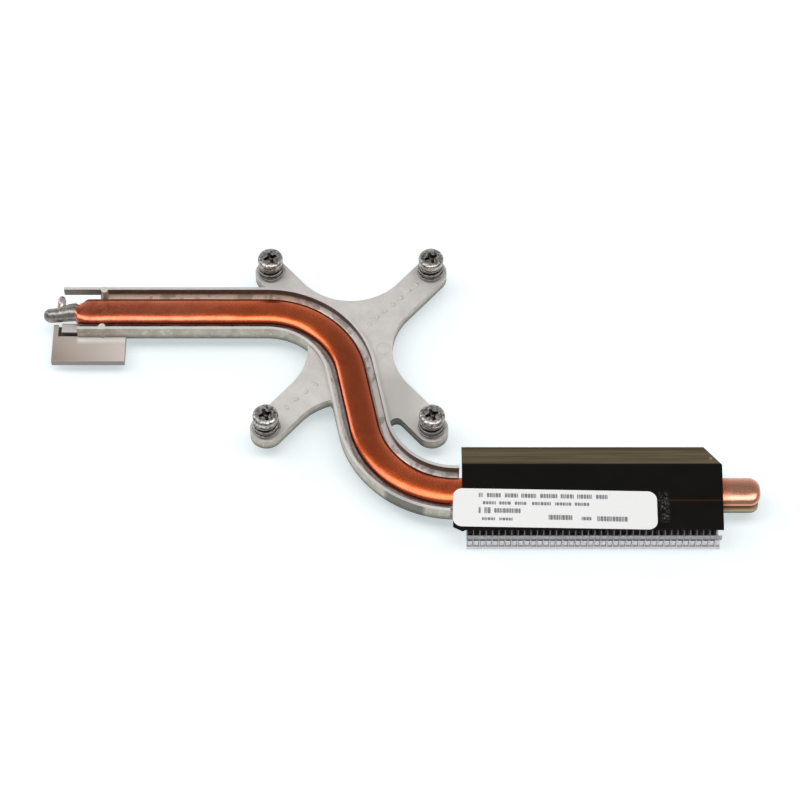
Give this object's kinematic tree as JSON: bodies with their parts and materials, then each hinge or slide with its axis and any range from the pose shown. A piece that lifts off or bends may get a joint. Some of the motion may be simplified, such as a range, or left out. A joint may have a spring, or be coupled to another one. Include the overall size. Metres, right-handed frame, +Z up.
{
  "type": "laptop processor heatsink",
  "caption": "Flat laptop processor heatsink: cast carrier with sprung screws on its arms, a flattened copper heat pipe in a channel and a fin stack under a black film.",
  "frame": {"origin": "centre of the copper face that meets the processor, which is also the centre of the screw pattern", "axes": "+X along the straight runs of the pipe towards the fins, +Y away from the open front of the fins, +Z up, away from the processor"},
  "size_m": [0.1792, 0.0813, 0.014],
  "materials": {
    "cast_carrier": "as cast, fine matt grain, pale warm grey",
    "copper_pipe": "drawn and flattened copper, satin with lengthwise streaks and a tinned silver tip",
    "copper_block": "milled copper, fine parallel tool marks",
    "black_film": "smooth black film with a soft sheen",
    "label_paper": "matt white self-adhesive paper",
    "screw_steel": "dull nickel-plated steel, bright along worn edges",
    "spring_wire": "drawn spring wire, dark grey",
    "clip_steel": "stamped steel, oiled",
    "fin_sheet": "thin rolled sheet, bright cut edges"
  },
  "bodies": {
    "heatsink": {"carrier": "cast_carrier", "heat_pipe": "copper_pipe", "contact_block": "copper_block", "top_film": "black_film", "label": "label_paper", "spring_1": "spring_wire", "spring_2": "spring_wire", "spring_3": "spring_wire", "spring_4": "spring_wire", "fin_01": "fin_sheet", "fin_02": "fin_sheet", "fin_03": "fin_sheet", "fin_04": "fin_sheet", "fin_05": "fin_sheet", "fin_06": "fin_sheet", "fin_07": "fin_sheet", "fin_08": "fin_sheet", "fin_09": "fin_sheet", "fin_10": "fin_sheet", "fin_11": "fin_sheet", "fin_12": "fin_sheet", "fin_13": "fin_sheet", "fin_14": "fin_sheet", "fin_15": "fin_sheet", "fin_16": "fin_sheet", "fin_17": "fin_sheet", "fin_18": "fin_sheet", "fin_19": "fin_sheet", "fin_20": "fin_sheet", "fin_21": "fin_sheet", "fin_22": "fin_sheet", "fin_23": "fin_sheet", "fin_24": "fin_sheet", "fin_25": "fin_sheet", "fin_26": "fin_sheet", "fin_27": "fin_sheet", "fin_28": "fin_sheet", "fin_29": "fin_sheet", "fin_30": "fin_sheet", "fin_31": "fin_sheet", "fin_32": "fin_sheet", "fin_33": "fin_sheet", "fin_34": "fin_sheet", "fin_35": "fin_sheet", "fin_36": "fin_sheet", "fin_37": "fin_sheet", "fin_38": "fin_sheet", "fin_39": "fin_sheet", "fin_40": "fin_sheet"},
    "clip_1": {"clip_1": "clip_steel"},
    "screw_1": {"screw_1": "screw_steel"},
    "clip_2": {"clip_2": "clip_steel"},
    "screw_2": {"screw_2": "screw_steel"},
    "clip_3": {"clip_3": "clip_steel"},
    "screw_3": {"screw_3": "screw_steel"},
    "clip_4": {"clip_4": "clip_steel"},
    "screw_4": {"screw_4": "screw_steel"}
  },
  "joints": [
    {"name": "screw_1_press", "type": "slide", "parent": "heatsink", "child": "clip_1", "axis": [0, 0, -1], "range_m": [0, 0.0024], "stiffness_N_per_m": 1500, "springref_m": -0.001, "deforming": ["spring_1"]},
    {"name": "screw_1_turn", "type": "hinge", "parent": "clip_1", "child": "screw_1", "pos_m": [-0.02055, 0.0235, 0.002], "axis": [0, 0, 1], "continuous": true},
    {"name": "screw_2_press", "type": "slide", "parent": "heatsink", "child": "clip_2", "axis": [0, 0, -1], "range_m": [0, 0.0024], "stiffness_N_per_m": 1500, "springref_m": -0.001, "deforming": ["spring_2"]},
    {"name": "screw_2_turn", "type": "hinge", "parent": "clip_2", "child": "screw_2", "pos_m": [0.02055, 0.0235, 0.002], "axis": [0, 0, 1], "continuous": true},
    {"name": "screw_3_press", "type": "slide", "parent": "heatsink", "child": "clip_3", "axis": [0, 0, -1], "range_m": [0, 0.0024], "stiffness_N_per_m": 1500, "springref_m": -0.001, "deforming": ["spring_3"]},
    {"name": "screw_3_turn", "type": "hinge", "parent": "clip_3", "child": "screw_3", "pos_m": [-0.02055, -0.0235, 0.002], "axis": [0, 0, 1], "continuous": true},
    {"name": "screw_4_press", "type": "slide", "parent": "heatsink", "child": "clip_4", "axis": [0, 0, -1], "range_m": [0, 0.0024], "stiffness_N_per_m": 1500, "springref_m": -0.001, "deforming": ["spring_4"]},
    {"name": "screw_4_turn", "type": "hinge", "parent": "clip_4", "child": "screw_4", "pos_m": [0.02055, -0.0235, 0.002], "axis": [0, 0, 1], "continuous": true}
  ]
}
